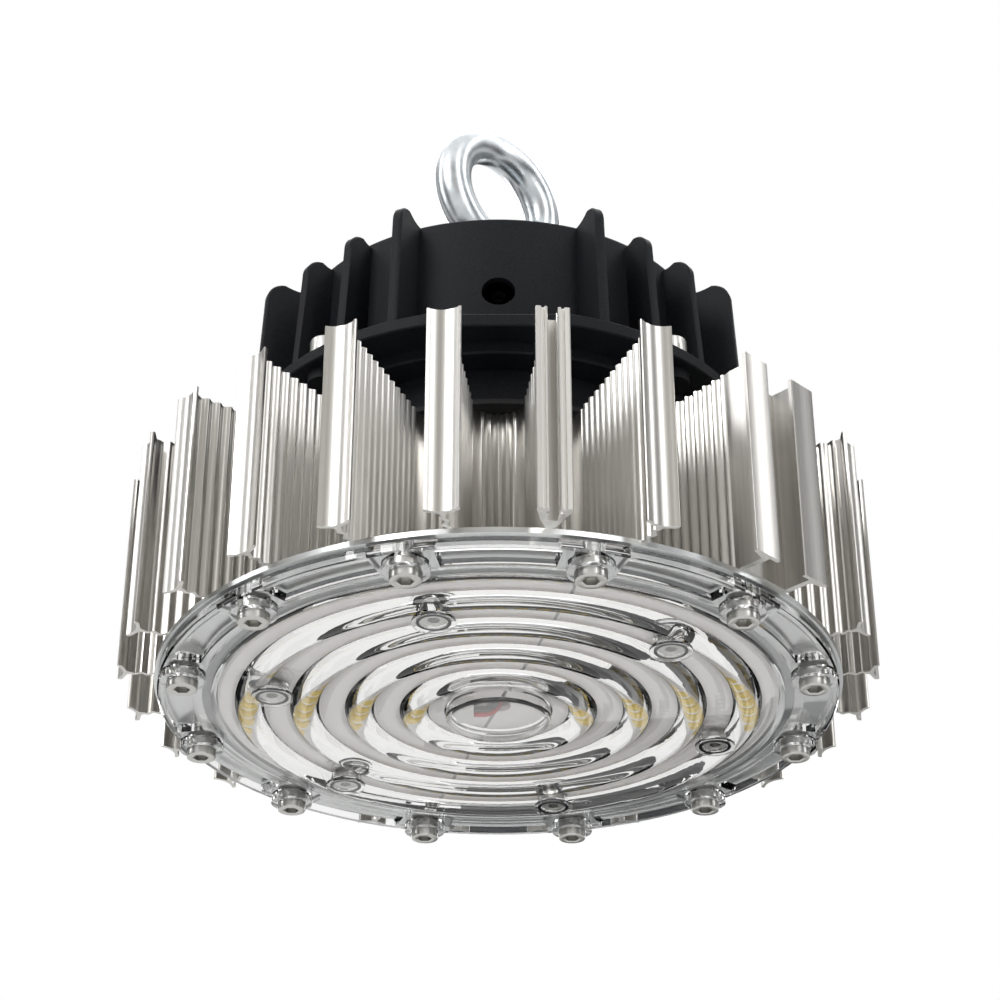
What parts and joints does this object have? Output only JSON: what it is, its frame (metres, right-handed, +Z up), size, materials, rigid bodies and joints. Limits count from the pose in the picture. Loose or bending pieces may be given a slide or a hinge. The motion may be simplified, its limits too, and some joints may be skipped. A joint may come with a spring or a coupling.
{
  "type": "high bay light",
  "caption": "Round hanging light: black ribbed driver housing with an eye bolt on a finned aluminium heat sink, and a clear ringed lens held by socket screws.",
  "frame": {"origin": "on the axis, in the plane of the lens screws' end faces", "axes": "+Z up along the axis to the eye, -Y towards the side with the screw port, +X to the right of it"},
  "size_m": [0.2148, 0.2148, 0.2106],
  "materials": {
    "extruded_aluminium": "bright drawn, as extruded",
    "sheet_aluminium": "satin sheet",
    "white_solder_mask": "satin white solder mask",
    "yellow_phosphor": "glossy phosphor silicone",
    "white_nylon": "moulded",
    "red_insulation": "extruded PVC",
    "black_insulation": "extruded PVC",
    "clear_polycarbonate": "clear moulded",
    "grey_silicone": "moulded",
    "stainless_steel": "turned",
    "zinc_plated_steel": "zinc plated",
    "dark_silicone_pad": "sheet",
    "black_powder_coat": "fine texture powder coat",
    "driver_can": "folded and sealed",
    "black_nylon": "moulded",
    "black_rubber": "moulded"
  },
  "bodies": {
    "root": {"heat_sink": "extruded_aluminium", "base_plate": "sheet_aluminium", "board_right": "white_solder_mask", "board_left": "white_solder_mask", "light_chips": "yellow_phosphor", "board_connector": "white_nylon", "lead_red": "red_insulation", "lead_black": "black_insulation", "lens": "clear_polycarbonate", "lens_plugs": "clear_polycarbonate", "lens_seal": "grey_silicone", "plug_seals": "grey_silicone", "lens_screws": "stainless_steel", "inner_screws": "stainless_steel", "clinch_nuts": "zinc_plated_steel", "inner_clinch_nuts": "zinc_plated_steel", "eye_bolt": "zinc_plated_steel", "eye_nut": "zinc_plated_steel", "eye_washer": "zinc_plated_steel", "base_screws": "stainless_steel", "flange_screws": "stainless_steel", "sink_pad": "dark_silicone_pad", "housing_seal": "dark_silicone_pad", "driver_base": "black_powder_coat", "driver_housing": "black_powder_coat", "driver_module": "driver_can", "gland_body": "black_nylon", "gland_nut": "black_nylon", "gland_seal": "black_rubber"}
  },
  "joints": []
}
